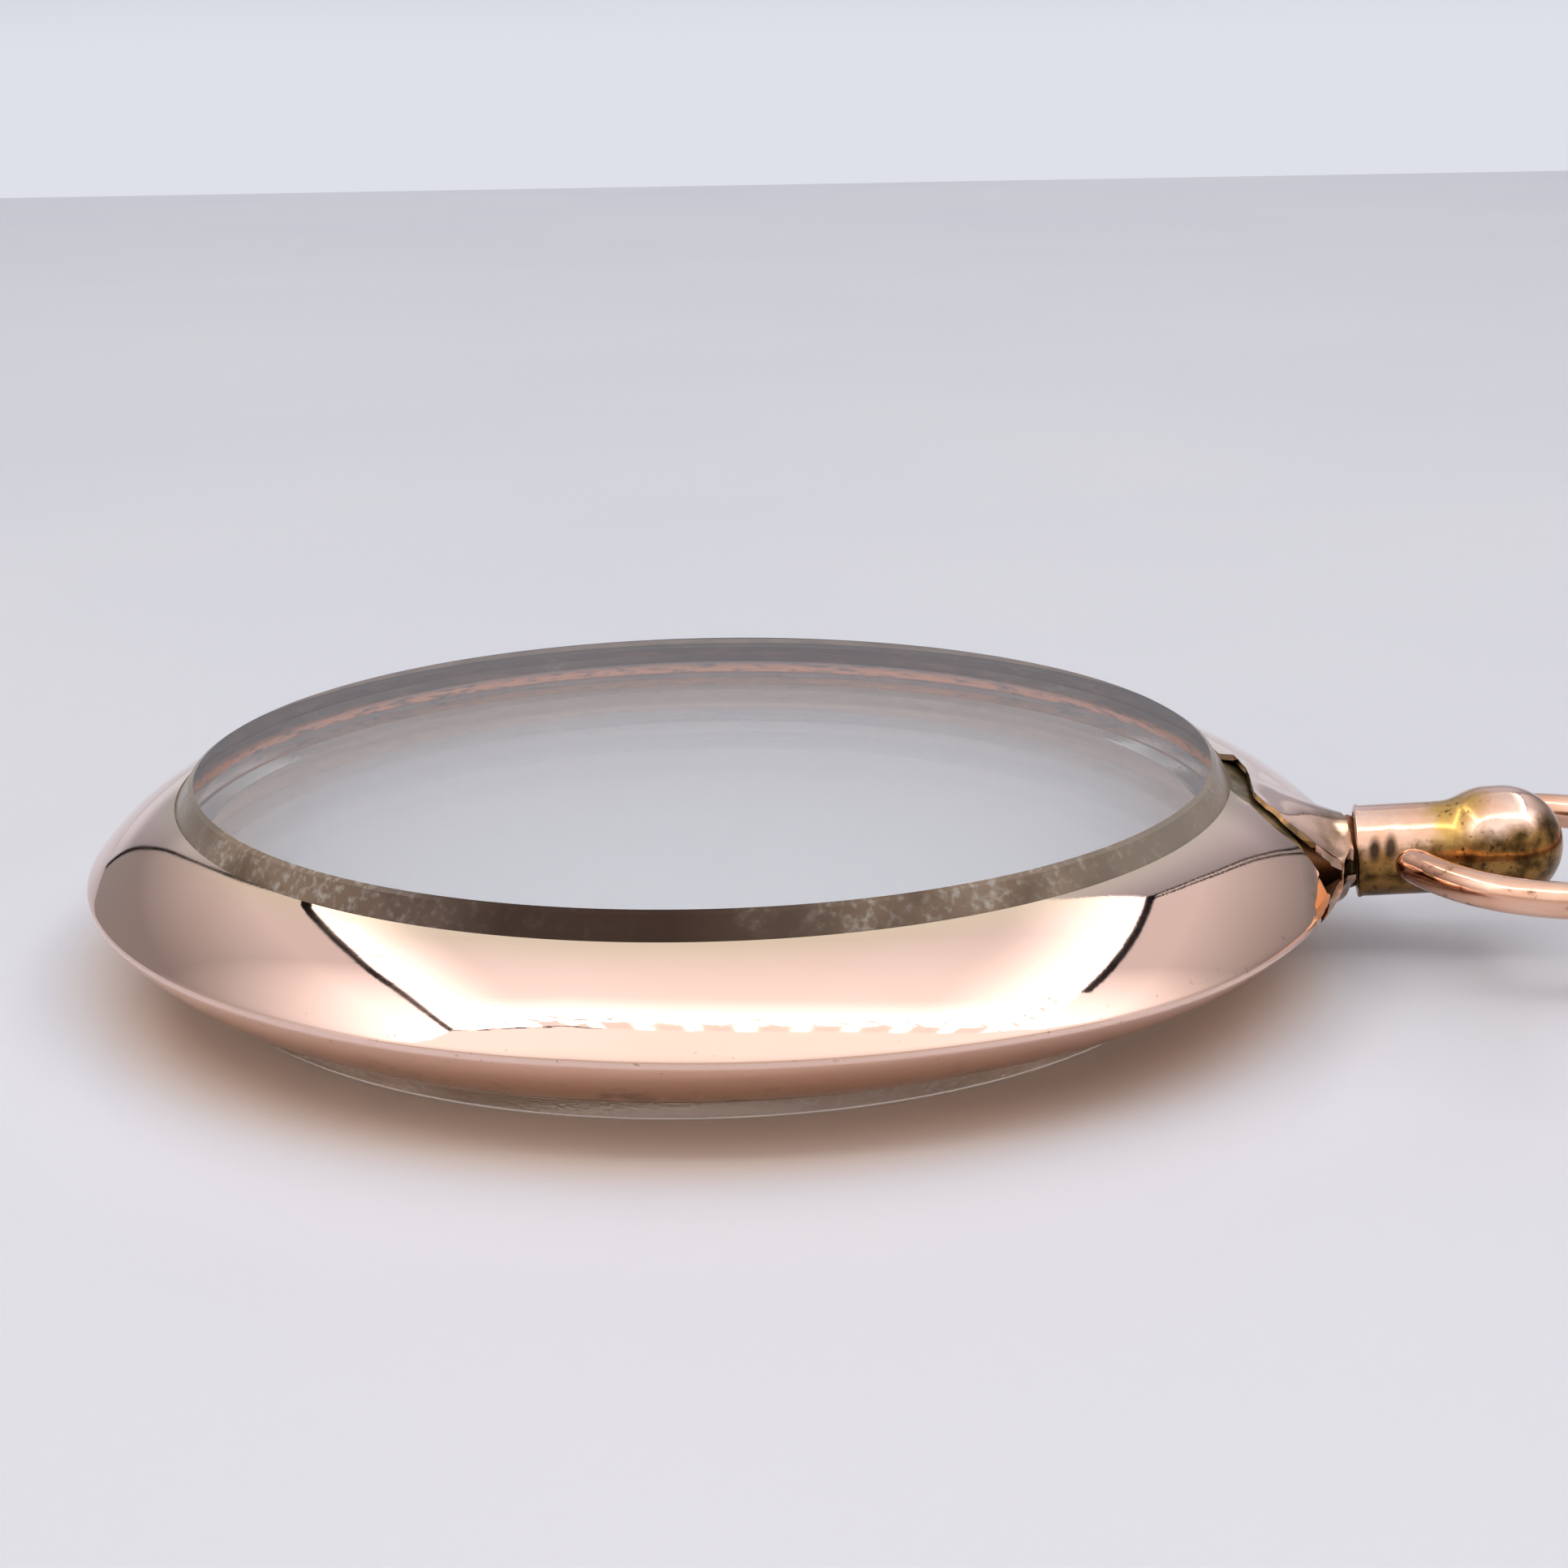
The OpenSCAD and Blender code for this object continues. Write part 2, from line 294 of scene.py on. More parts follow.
tent_sheet("floor", (2 * tent_left, 3 * tent_front, -floor_sink), (4 * tent_wide, 0, 0),
           (0, slab_end - 3 * tent_front, 0), slab, seen=True)

world = bpy.data.worlds.new("room")
bpy.context.scene.world = world
world.use_nodes = True
world.node_tree.nodes["Background"].inputs["Color"].default_value = linear("f3e8e0")
world.node_tree.nodes["Background"].inputs["Strength"].default_value = 0.8
bpy.context.scene.view_settings.view_transform = "Standard"

# Ring skin
# Two thin shells of rose gold sheet, stamped and soldered edge to edge at a rounded seam. The
# ring is hollow, and its lips are burnished over the bevels of the glasses. It is drawn out a
# little towards the neck, where its far end is wrapped round a post as a collar.


def select_only(piece):
    """Leaves one piece selected and active."""
    bpy.ops.object.select_all(action="DESELECT")
    piece.select_set(True)
    bpy.context.view_layer.objects.active = piece


def draw_line(name, points, closed=False):
    """A line of edges through points in space, drawn by extruding one vertex."""
    bpy.ops.object.select_all(action="DESELECT")
    bpy.ops.mesh.primitive_plane_add(size=MM)
    line = bpy.context.object
    line.name = name
    bpy.ops.object.mode_set(mode="EDIT")
    bpy.ops.mesh.merge(type="CENTER")
    spots = [Vector(p) for p in points]
    bpy.ops.transform.translate(value=spots[0])
    for start, end in zip(spots, spots[1:]):
        bpy.ops.mesh.extrude_region_move(TRANSFORM_OT_translate={"value": end - start})
    if closed:
        bpy.ops.mesh.select_all(action="SELECT")
        bpy.ops.mesh.edge_face_add()
    bpy.ops.object.mode_set(mode="OBJECT")
    return line


def turn_on_lathe(piece, *turns):
    """Spins a drawn line about Z, by each turn's angle in its steps, and merges what meets."""
    select_only(piece)
    bpy.ops.object.mode_set(mode="EDIT")
    bpy.ops.mesh.select_all(action="SELECT")
    for angle, steps in turns:
        bpy.ops.mesh.spin(steps=steps, angle=angle, center=(0, 0, 0), axis=(0, 0, 1))
    bpy.ops.mesh.select_all(action="SELECT")
    bpy.ops.mesh.remove_doubles(threshold=0.0005 * MM)
    bpy.ops.mesh.normals_make_consistent(inside=False)
    bpy.ops.object.mode_set(mode="OBJECT")
    return piece


def use_modifier(piece, kind, **settings):
    """Adds a modifier with its settings and applies it."""
    select_only(piece)
    modifier = piece.modifiers.new(kind.lower(), kind)
    for name, value in settings.items():
        setattr(modifier, name, value)
    bpy.ops.object.modifier_apply(modifier=modifier.name)


def finish_piece(piece, name, body, slot, *materials, smooth_angle=35):
    """Names a piece, shades it, gives it any materials it has yet to get, and hangs it on its body."""
    select_only(piece)
    bpy.ops.object.shade_smooth_by_angle(angle=math.radians(smooth_angle))
    piece.name = name
    if materials:
        piece.data.materials.clear()
    for material in materials:
        piece.data.materials.append(material)
    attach(piece, body)


def ease(share):
    """Eases a share between 0 and 1, with no kink at either end."""
    share = min(1, max(0, share))
    return share * share * (3 - 2 * share)


glass_low, glass_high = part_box("upper_glass")
total_h = glass_high.z
mid_z = total_h / 2
disc_t = glass_high.z - glass_low.z
disc_r = (glass_high.x - glass_low.x) / 2
ring_r = 17.0 * MM
lip_r = 14.52 * MM
lip_rise = 1.95 * MM
lip_slope = math.radians(21)
bead_r = 0.22 * MM

lip_to_seam = math.hypot(ring_r - lip_r, lip_rise)
half_turn = math.atan2(lip_rise, ring_r - lip_r) - lip_slope
shell_arc_r = lip_to_seam / (2 * math.sin(half_turn))
shell_arc_x = lip_r - shell_arc_r * math.sin(lip_slope)
shell_arc_drop = shell_arc_r * math.cos(lip_slope) - lip_rise
bead_x = shell_arc_x + math.sqrt((shell_arc_r - bead_r) ** 2 - shell_arc_drop ** 2)
seam_slope = math.asin((bead_x - shell_arc_x) / (shell_arc_r - bead_r))


def shell_point(slope):
    """A point on the upper shell's section, by the slope of the sheet there."""
    return Vector((shell_arc_x + shell_arc_r * math.sin(slope), 0,
                   mid_z - shell_arc_drop + shell_arc_r * math.cos(slope)))


def shell_section():
    """The section of both shells from the upper lip round the seam to the lower lip."""
    steps = 24
    upper = [shell_point(lip_slope + (seam_slope - lip_slope) * i / steps) for i in range(steps + 1)]
    bead_steps = 8
    bead_from = math.pi / 2 - seam_slope
    bead = []
    for i in range(1, bead_steps):
        angle = bead_from * (1 - 2 * i / bead_steps)
        bead.append(Vector((bead_x + bead_r * math.cos(angle), 0, mid_z + bead_r * math.sin(angle))))
    lower = [Vector((p.x, 0, 2 * mid_z - p.z)) for p in reversed(upper)]
    return upper + bead + lower


neck_lean = math.radians(5)
neck_root_x = 16.2 * MM
mouth_x = 17.9 * MM


def neck_point(x):
    """A point on the leaning line of the neck, by its distance from the ring's centre."""
    return Vector((neck_root_x + (x - neck_root_x) * math.cos(neck_lean), 0,
                   mid_z + (x - neck_root_x) * math.sin(neck_lean)))


drawn_out = 0.75 * MM
front_bulge = 0.24 * MM
bulge_at = math.radians(-40)
bulge_wide = math.radians(14)
spout_out = 0.45 * MM
spout_inner = math.radians(4.2)
spout_outer = math.radians(5.6)


def seam_reach(turn):
    """Distance of the seam from the centre, by the angle round from the neck."""
    ahead = max(0, math.cos(turn))
    aside = drawn_out * math.sin(turn) if ahead else 0
    reach = drawn_out * ahead + math.sqrt(ring_r ** 2 - aside ** 2)
    bulge = front_bulge * math.exp(-((turn - bulge_at) / bulge_wide) ** 2)
    spout = spout_out * ease((spout_outer - abs(turn)) / (spout_outer - spout_inner))
    return reach + bulge + spout


# Collar: its half width, crown and foot near the mouth, how fast each grows inwards, and from where
collar_side = (1.2 * MM, 0.35, 17.6 * MM)
collar_crown = (1.06 * MM, 0.27, 17.5 * MM)
collar_foot = (1.2 * MM, 0.6, 17.8 * MM)
foot_most = 1.75 * MM
collar_from = 15.4 * MM
collar_reach = 2.4 * MM
collar_settle = 0.8 * MM
collar_blend = 0.6 * MM


def grown(x, size, rate, start):
    """A size at a place on the neck, which grows inwards from where it starts."""
    return size + rate * (start - x)


def collar_rise(x, y, above):
    """Height of the collar's surface over or under the middle of the ring, and nothing beside it."""
    half_wide = grown(x, *collar_side)
    crown = grown(x, *collar_crown) if above else min(foot_most, grown(x, *collar_foot))
    if abs(y) >= half_wide:
        return 0
    rise = (x - neck_root_x) * math.sin(neck_lean) * (1 if above else -1)
    return max(0, rise + crown * math.sqrt(1 - (y / half_wide) ** 2))


def soft_larger(a, b, blend):
    """The larger of two heights, with a rounded change from one to the other."""
    share = min(1, max(0, 0.5 + 0.5 * (a - b) / blend))
    return b + (a - b) * share + blend * share * (1 - share)


def draw_out(piece):
    """Draws the round shell out towards the neck and raises the collar on it. The lip stays round."""
    for vertex in piece.data.vertices:
        x, y, z = vertex.co
        reach = math.hypot(x, y)
        turn = math.atan2(y, x)
        share = min(1, max(0, (reach - lip_r) / (ring_r - lip_r)))
        stretch = (reach + share * (seam_reach(turn) - ring_r)) / reach
        x, y = x * stretch, y * stretch
        if x > collar_from and abs(y) < collar_reach:
            above = z >= mid_z
            height = abs(z - mid_z)
            settle = ease((x - collar_from) / collar_settle)
            raised = soft_larger(height, collar_rise(x, y, above), collar_blend)
            height += (raised - height) * settle
            z = mid_z + height if above else mid_z - height
        vertex.co = (x, y, z)


neck_sector = math.radians(25)
start = Matrix.Rotation(-neck_sector, 3, "Z")
skin_t = 0.16 * MM
skin = turn_on_lathe(draw_line("skin", [start @ p for p in shell_section()]),
                     (2 * neck_sector, 250), (2 * math.pi - 2 * neck_sector, 300))
draw_out(skin)

# The tongue lies close under the near sheet, so it starts as a copy of the bare shell
select_only(skin)
bpy.ops.object.duplicate()
tongue = bpy.context.object


def prism(points, z_from, z_to):
    """A closed prism over an outline seen from above, in millimetres, to cut or trim with."""
    cutter = draw_line("cutter", [Vector((x * MM, y * MM, z_from)) for x, y in points], closed=True)
    bpy.ops.object.mode_set(mode="EDIT")
    bpy.ops.mesh.select_all(action="SELECT")
    bpy.ops.mesh.extrude_region_move(TRANSFORM_OT_translate={"value": (0, 0, z_to - z_from)})
    bpy.ops.mesh.select_all(action="SELECT")
    bpy.ops.mesh.normals_make_consistent(inside=False)
    bpy.ops.object.mode_set(mode="OBJECT")
    return cutter


def trim(piece, cutter, operation="DIFFERENCE"):
    """Takes a cutter's shape out of a piece, or keeps only what is inside it."""
    use_modifier(piece, "BOOLEAN", object=cutter, operation=operation, solver="MANIFOLD")
    bpy.data.objects.remove(cutter)


def hand_filed(points, seed, step=0.22, waver=0.035):
    """Breaks a line into short steps that waver a little, as a sawn and filed edge does."""
    line = []
    for (x0, y0), (x1, y1) in zip(points, points[1:]):
        pieces = max(1, round(math.hypot(x1 - x0, y1 - y0) / step))
        for i in range(pieces):
            x, y = x0 + (x1 - x0) * i / pieces, y0 + (y1 - y0) * i / pieces
            line.append((x + waver * noise.noise(Vector((x * 3, y * 3, seed))),
                         y + waver * noise.noise(Vector((x * 3, y * 3, seed + 9)))))
    return line + [points[-1]]


# The split seen from above, in millimetres: its far and near edges in the upper shell, the far edge
# in the lower shell, and the edge of the collar at the mouth
far_edge = [
    (14.0, 3.0), (14.62, 2.85), (14.97, 1.8), (15.07, 0.6), (15.14, -0.48), (15.46, -0.98),
    (15.88, -1.42), (16.3, -1.7), (16.73, -1.88), (17.17, -1.82), (17.55, -1.6), (17.7, -1.2),
    (18.4, -1.2)]
near_edge = [
    (14.0, -0.4), (14.45, -0.5), (14.8, -1.21), (15.02, -1.35), (15.37, -1.98), (15.74, -2.45),
    (16.27, -2.74), (16.58, -3.08), (16.78, -3.45), (16.7, -4.48), (16.62, -5.2), (16.68, -5.95),
    (17.2, -6.5)]
lower_far_edge = [
    (14.0, -0.25), (14.5, -0.36), (15.1, -1.28), (15.82, -2.34), (16.35, -2.62), (16.9, -3.4),
    (16.84, -4.48), (16.78, -5.2), (16.84, -5.9), (17.4, -6.4)]
rim_edge = [(17.95, -1.9), (17.82, -1.35), (17.28, 1.3), (17.5, 1.9), (18.8, 1.9), (18.8, -1.9)]
lift_above = 0.3 * MM
lift_from = 14 * MM
lift_beside = 4.5 * MM
corner_x = 14.6 * MM
corner_wide = 0.9 * MM
corner_more = 1.2


def edge_distance(x, y, points):
    """Distance from a place to a line seen from above."""
    nearest = 1e9
    for (x0, y0), (x1, y1) in zip(points, points[1:]):
        dx, dy = (x1 - x0) * MM, (y1 - y0) * MM
        share = ((x - x0 * MM) * dx + (y - y0 * MM) * dy) / (dx * dx + dy * dy)
        share = min(1, max(0, share))
        nearest = min(nearest, math.hypot(x - x0 * MM - share * dx, y - y0 * MM - share * dy))
    return nearest


def lift_edge(piece, points, lift, reach):
    """Springs a sheet up along one edge of the split, most of all at its corner beside the glass."""
    for vertex in piece.data.vertices:
        x, y, z = vertex.co
        if z < mid_z + lift_above or x < lift_from or abs(y) > lift_beside:
            continue
        near = 1 - edge_distance(x, y, points) / reach
        if near > 0:
            corner = 1 + corner_more * ease(1 - (x - corner_x) / corner_wide)
            vertex.co.z += lift * corner * near * near


# Rose gold: nine carat, polished on a mop, so it mirrors the room. Old wear leaves faint smears,
# hairlines and shallow waves, with a yellow tinge along the lips, painted brown shade under the seam
# with dark dirt patches in it, and stains at the neck
rose_gold = new_material("polished rose gold")
place = add_node(rose_gold, "TexCoord")["Object"]
spot = add_node(rose_gold, "SeparateXYZ", {"Vector": place})
flat = add_node(rose_gold, "VectorMath", {0: place, 1: (1, 1, 0)}, operation="MULTIPLY")["Vector"]
reach = add_node(rose_gold, "VectorMath", {0: flat}, operation="LENGTH")["Value"]
lip_share = add_node(rose_gold, "MapRange", {
    "Value": reach, "From Min": 14.5 * MM, "From Max": 15.3 * MM, "To Min": 0.6, "To Max": 0})[0]
# Painted shade: the lower shell is painted browner, for the shaded floor that it mirrors
underside_shade_and_dirt = add_node(rose_gold, "MapRange", {
    "Value": spot["Z"], "From Min": mid_z - 1.7 * MM, "From Max": mid_z - 0.4 * MM,
    "To Min": 1, "To Max": 0})[0]
off_seam = add_node(rose_gold, "Math", {0: spot["Z"], 1: mid_z}, operation="SUBTRACT")[0]
off_seam = add_node(rose_gold, "Math", {0: off_seam}, operation="ABSOLUTE")[0]
seam_share = add_node(rose_gold, "MapRange", {
    "Value": off_seam, "From Min": 0.12 * MM, "From Max": 0.4 * MM, "To Min": 1, "To Max": 0})[0]
neck_share = add_node(rose_gold, "MapRange", {
    "Value": spot["X"], "From Min": 16.3 * MM, "From Max": 17.2 * MM})[0]
rose_tone = lay_tones(
    rose_gold, place, linear("edcdc0"),
    ("e6c2b0", 0.5, all_over, 6, 3, 0.35, 0.7), ("e2cfae", 1, lip_share), ("cf9e78", 0.85, underside_shade_and_dirt),
    ("6b4630", 0.8, underside_shade_and_dirt, 0.9, 5, 0.55, 0.66), ("6d4d3c", 0.6, seam_share, 0.22, 2, 0.68, 0.76),
    ("8c6c54", 0.7, neck_share), ("6f5a38", 0.6, neck_share, 0.5, 4, 0.45, 0.65))
smears = add_node(rose_gold, "TexNoise", {"Vector": place, "Scale": 1 / (3 * MM), "Detail": 6.0})["Fac"]
rose_rough = add_node(rose_gold, "MapRange", {
    "Value": smears, "From Min": 0.35, "From Max": 0.75, "To Min": 0.02, "To Max": 0.07})[0]
rose_rough = add_node(rose_gold, "Math", {
    0: neck_share, 1: 0.1, 2: rose_rough}, operation="MULTIPLY_ADD")[0]
brushed = add_node(rose_gold, "Mapping", {
    "Vector": place, "Rotation": (0, 0, 0.5),
    "Scale": (1 / (3 * MM), 1 / (0.05 * MM), 1 / (0.05 * MM))})["Vector"]
hairlines = add_node(rose_gold, "TexNoise", {"Vector": brushed, "Scale": 1.0, "Detail": 2.0})["Fac"]
waves = add_node(rose_gold, "TexNoise", {"Vector": place, "Scale": 1 / (4 * MM), "Detail": 1.0})["Fac"]
waved = add_node(rose_gold, "Bump", {"Height": waves, "Distance": 0.02 * MM})["Normal"]
marked = add_node(rose_gold, "Bump", {
    "Height": hairlines, "Strength": 0.25, "Distance": 0.0012 * MM, "Normal": waved})["Normal"]
rose_shader = add_node(rose_gold, "BsdfPrincipled", {
    "Base Color": rose_tone, "Metallic": 1.0, "Roughness": rose_rough, "Normal": marked})
add_node(rose_gold, "OutputMaterial", {"Surface": rose_shader["BSDF"]})

# Tarnished gold: sheet that was never polished after soldering, so it is dull, brown and olive
tarnished = new_material("tarnished gold sheet")
place = add_node(tarnished, "TexCoord")["Object"]
tarnished_tone = lay_tones(
    tarnished, place, linear("a5744f"),
    ("7a6a4a", 1, all_over, 1.5, 5, 0.4, 0.6), ("4a3526", 0.7, all_over, 0.4, 5, 0.52, 0.7))
grit = add_node(tarnished, "TexNoise", {"Vector": place, "Scale": 1 / (0.12 * MM), "Detail": 4.0})["Fac"]
gritty = add_node(tarnished, "Bump", {"Height": grit, "Strength": 0.5, "Distance": 0.01 * MM})["Normal"]
tarnished_shader = add_node(tarnished, "BsdfPrincipled", {
    "Base Color": tarnished_tone, "Metallic": 0.9, "Roughness": 0.38, "Normal": gritty})
add_node(tarnished, "OutputMaterial", {"Surface": tarnished_shader["BSDF"]})

skin.data.materials.append(rose_gold)
skin.data.materials.append(tarnished)
use_modifier(skin, "SOLIDIFY", thickness=skin_t, offset=-1, use_even_offset=True, material_offset=1)
upper_cut = hand_filed(far_edge, 1) + hand_filed(near_edge, 2)[::-1]
past_seam = 0.04 * MM
trim(skin, prism(upper_cut, mid_z - past_seam, total_h))
trim(skin, prism(lower_far_edge + near_edge[::-1], -MM, mid_z))
trim(skin, prism(rim_edge, 0, total_h))
lift_edge(skin, far_edge[1:-1], lift=0.07 * MM, reach=0.75 * MM)
finish_piece(skin, "ring_skin", "locket", "frame_gold")
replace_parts(skin, "frame")

# Split tongue
# An inner strip of the same gold, soldered under the near sheet, which the far sheet closes over.
# It was bent to the shell and cut out by hand, and its end lies bare beside the split.
tongue_outline = [
    (14.2, 3.4), (14.95, 3.1), (15.35, 1.0), (15.42, -0.4), (15.72, -1.0), (16.12, -1.55),
    (16.38, -2.0), (16.5, -2.7), (16.86, -3.3), (17.08, -3.85), (16.97, -4.5), (16.85, -5.1),
    (16.7, -5.75), (16.2, -5.8), (16.1, -4.5), (16.2, -3.6), (15.6, -3.3), (14.9, -2.4), (14.2, -1.8)]
tongue_t = 0.13 * MM
tongue_under = 0.18 * MM
tongue_foot = mid_z + 0.05 * MM
normals = [vertex.normal.copy() for vertex in tongue.data.vertices]
for vertex, normal in zip(tongue.data.vertices, normals):
    vertex.co -= normal * tongue_under
use_modifier(tongue, "SOLIDIFY", thickness=tongue_t, offset=-1, use_even_offset=True)
tongue_cut = hand_filed(tongue_outline + tongue_outline[:1], 3)[:-1]
trim(tongue, prism(tongue_cut, tongue_foot, total_h), "INTERSECT")

# Tongue gold: olive with dirt where the sheets meet, and bright copper red at its worn end
tongue_gold = new_material("dirty gold tongue")
place = add_node(tongue_gold, "TexCoord")["Object"]
across = add_node(tongue_gold, "SeparateXYZ", {"Vector": place})["Y"]
worn_end = add_node(tongue_gold, "MapRange", {
    "Value": across, "From Min": -3.6 * MM, "From Max": -3.0 * MM, "To Min": 1, "To Max": 0})[0]
tongue_tone = lay_tones(
    tongue_gold, place, linear("9a8a63"),
    ("5f5740", 1, all_over, 0.5, 4, 0.4, 0.65), ("f0a56a", 1, worn_end))
tongue_shader = add_node(tongue_gold, "BsdfPrincipled", {
    "Base Color": tongue_tone, "Metallic": 0.9, "Roughness": 0.34})
add_node(tongue_gold, "OutputMaterial", {"Surface": tongue_shader["BSDF"]})
finish_piece(tongue, "split_tongue", "locket", "frame_gold", tongue_gold)

# Inner band
# A strip of the same gold soldered inside the ring. Its ledge stands between the two glasses and
# shows as a coppery line between them. The rest is raw brown sheet, painted darker as painted shade
# between the glasses.
band_gap = 0.06 * MM
band_r = disc_r + band_gap
band_out = band_r + 0.3 * MM
band_half = 1.2 * MM
ledge_r = 14.62 * MM
ledge_half = mid_z - disc_t - band_gap
ledge_cut = 0.05 * MM
band_outline = [
    (band_r, -band_half), (band_out, -band_half), (band_out, band_half), (band_r, band_half),
    (band_r, ledge_half), (ledge_r + ledge_cut, ledge_half), (ledge_r, ledge_half - ledge_cut),
    (ledge_r, ledge_cut - ledge_half), (ledge_r + ledge_cut, -ledge_half), (band_r, -ledge_half),
    (band_r, -band_half)]


def turned(name, outline, steps):
    """A round piece, turned from an outline of radii and heights."""
    return turn_on_lathe(draw_line(name, [Vector((r, 0, z)) for r, z in outline]), (2 * math.pi, steps))


band = turned("band", [(r, mid_z + h) for r, h in band_outline], 256)

# Coppery gold: raw brown sheet painted dark as painted shade, with long streaks along it and its
# lower edge scraped orange
coppery = new_material("coppery gold strip")
place = add_node(coppery, "TexCoord")["Object"]
level = add_node(coppery, "SeparateXYZ", {"Vector": place})["Z"]
streaked = add_node(coppery, "Mapping", {"Vector": place, "Scale": (1, 1, 6)})["Vector"]
scraped = add_node(coppery, "MapRange", {
    "Value": level, "From Min": 2.3 * MM, "From Max": 2.5 * MM, "To Min": 1, "To Max": 0})[0]
coppery_tone = lay_tones(
    coppery, streaked, linear("46291b"),
    ("80543c", 0.8, all_over, 1.6, 4, 0.5, 0.7), ("e8955c", 1, scraped, 0.7, 4, 0.3, 0.5),
    ("1e1410", 0.7, all_over, 0.4, 4, 0.6, 0.75))
coppery_shader = add_node(coppery, "BsdfPrincipled", {
    "Base Color": coppery_tone, "Metallic": 0.9, "Roughness": 0.4})
add_node(coppery, "OutputMaterial", {"Surface": coppery_shader["BSDF"]})
finish_piece(band, "inner_band", "locket", "frame_gold", coppery)

# Glasses
# Two thick discs of clear glass, each ground to a wide bevel and held by one of the ring's lips.
# The upper one shows its bevel inside the lip, and the lower one carries the locket.
face_r = 14.07 * MM
bevel_run = 0.66
bevel_h = (disc_r - face_r) / bevel_run
arris = 0.08 * MM
edge_lean = 0.1
bevel_lean = 0.97

# Crown glass: clear and polished. Rays that light the inside pass almost straight through it
clear_glass = new_material("clear crown glass")
ray = add_node(clear_glass, "LightPath")
lighting = add_node(clear_glass, "Math", {0: ray["Is Shadow Ray"], 1: ray["Is Diffuse Ray"]},
                    operation="MAXIMUM")[0]
seen_share = add_node(clear_glass, "MapRange", {"Value": lighting, "To Min": 1, "To Max": 0.05})[0]
glass_shader = add_node(clear_glass, "BsdfPrincipled", {
    "Base Color": linear("fdfdfd"), "Roughness": 0.0, "IOR": 1.52, "Specular IOR Level": 0.35,
    "Transmission Weight": 1.0, "Alpha": seen_share})
add_node(clear_glass, "OutputMaterial", {"Surface": glass_shader["BSDF"]})

# Worn bevels: polished once, now hazed at both sides with fine scratches and pale grease in cloudy
# patches. The upper one is painted dark brown, as painted shade for the dark inside of the ring seen
# through it, and the lower one is painted light brown in front, as painted shadow, and stays clear at the
# back
bevels = []
for name, painted_shade_tone, hazy, clear, far_clear in (
        ("worn bevel painted with shade", "341e11", "8c7765", 0.25, 0),
        ("worn bevel painted with shadow", "a5876f", "ab9280", 0.6, 1)):
    bevel = new_material(name)
    place = add_node(bevel, "TexCoord")["Object"]
    spot = add_node(bevel, "SeparateXYZ", {"Vector": place})
    off_middle = add_node(bevel, "Math", {0: spot["X"]}, operation="ABSOLUTE")[0]
    far_share = add_node(bevel, "MapRange", {
        "Value": spot["Y"], "From Min": -5 * MM, "From Max": 5 * MM, "To Max": far_clear})[0]
    side_share = add_node(bevel, "MapRange", {
        "Value": off_middle, "From Min": 2 * MM, "From Max": 8 * MM, "To Min": 0.04, "To Max": 1})[0]
    cloud = add_node(bevel, "TexNoise", {"Vector": place, "Scale": 1 / (2.2 * MM), "Detail": 7.0})["Fac"]
    patches = add_node(bevel, "MapRange", {"Value": cloud, "From Min": 0.42, "From Max": 0.6})[0]
    haze = add_node(bevel, "MapRange", {"Value": patches, "To Min": 0.5, "To Max": 1})[0]
    haze = add_node(bevel, "Math", {0: haze, 1: side_share}, operation="MULTIPLY")[0]
    cloud = add_node(bevel, "TexNoise", {"Vector": place, "Scale": 1 / (0.22 * MM), "Detail": 5.0})["Fac"]
    flecks = add_node(bevel, "MapRange", {
        "Value": cloud, "From Min": 0.5, "From Max": 0.72, "To Max": 0.8})[0]
    flecks = add_node(bevel, "Math", {0: flecks, 1: patches}, operation="MULTIPLY")[0]
    flecks = add_node(bevel, "Math", {0: flecks, 1: side_share}, operation="MULTIPLY")[0]
    end_share = add_node(bevel, "MapRange", {
        "Value": off_middle, "From Min": 9.5 * MM, "From Max": 13 * MM, "To Max": 0.7})[0]
    tone = lay_tones(bevel, place, linear(painted_shade_tone), (hazy, 1, haze), ("c4beb6", 1, flecks),
                     ("948a80", 1, end_share), ("fdfdfd", 1, far_share))
    clearness = add_node(bevel, "MapRange", {"Value": haze, "To Min": clear, "To Max": 0.3})[0]
    clearness = add_node(bevel, "MapRange", {"Value": far_share, "To Min": clearness, "To Max": 1})[0]
    rough = add_node(bevel, "MapRange", {"Value": haze, "To Min": 0.1, "To Max": 0.3})[0]
    rough = add_node(bevel, "MapRange", {"Value": far_share, "To Min": rough, "To Max": 0.01})[0]
    scuffs = add_node(bevel, "TexNoise", {"Vector": place, "Scale": 1 / (0.15 * MM), "Detail": 3.0})["Fac"]
    scuffed = add_node(bevel, "Bump", {"Height": scuffs, "Strength": 0.4, "Distance": 0.01 * MM})["Normal"]
    bevel_shader = add_node(bevel, "BsdfPrincipled", {
        "Base Color": tone, "Roughness": rough, "IOR": 1.52, "Specular IOR Level": 0.05,
        "Transmission Weight": clearness, "Normal": scuffed})
    add_node(bevel, "OutputMaterial", {"Surface": bevel_shader["BSDF"]})
    bevels.append(bevel)

# Ground edge: left matt by the grinder and stained brown by the gold that it stands against
ground_edge = new_material("stained ground glass edge")
place = add_node(ground_edge, "TexCoord")["Object"]
edge_tone = lay_tones(
    ground_edge, place, linear("94806f"), ("7a6455", 1, all_over, 1.5, 4, 0.4, 0.65))
edge_shader = add_node(ground_edge, "BsdfPrincipled", {
    "Base Color": edge_tone, "Roughness": 0.7, "Specular IOR Level": 0.2})
add_node(ground_edge, "OutputMaterial", {"Surface": edge_shader["BSDF"]})


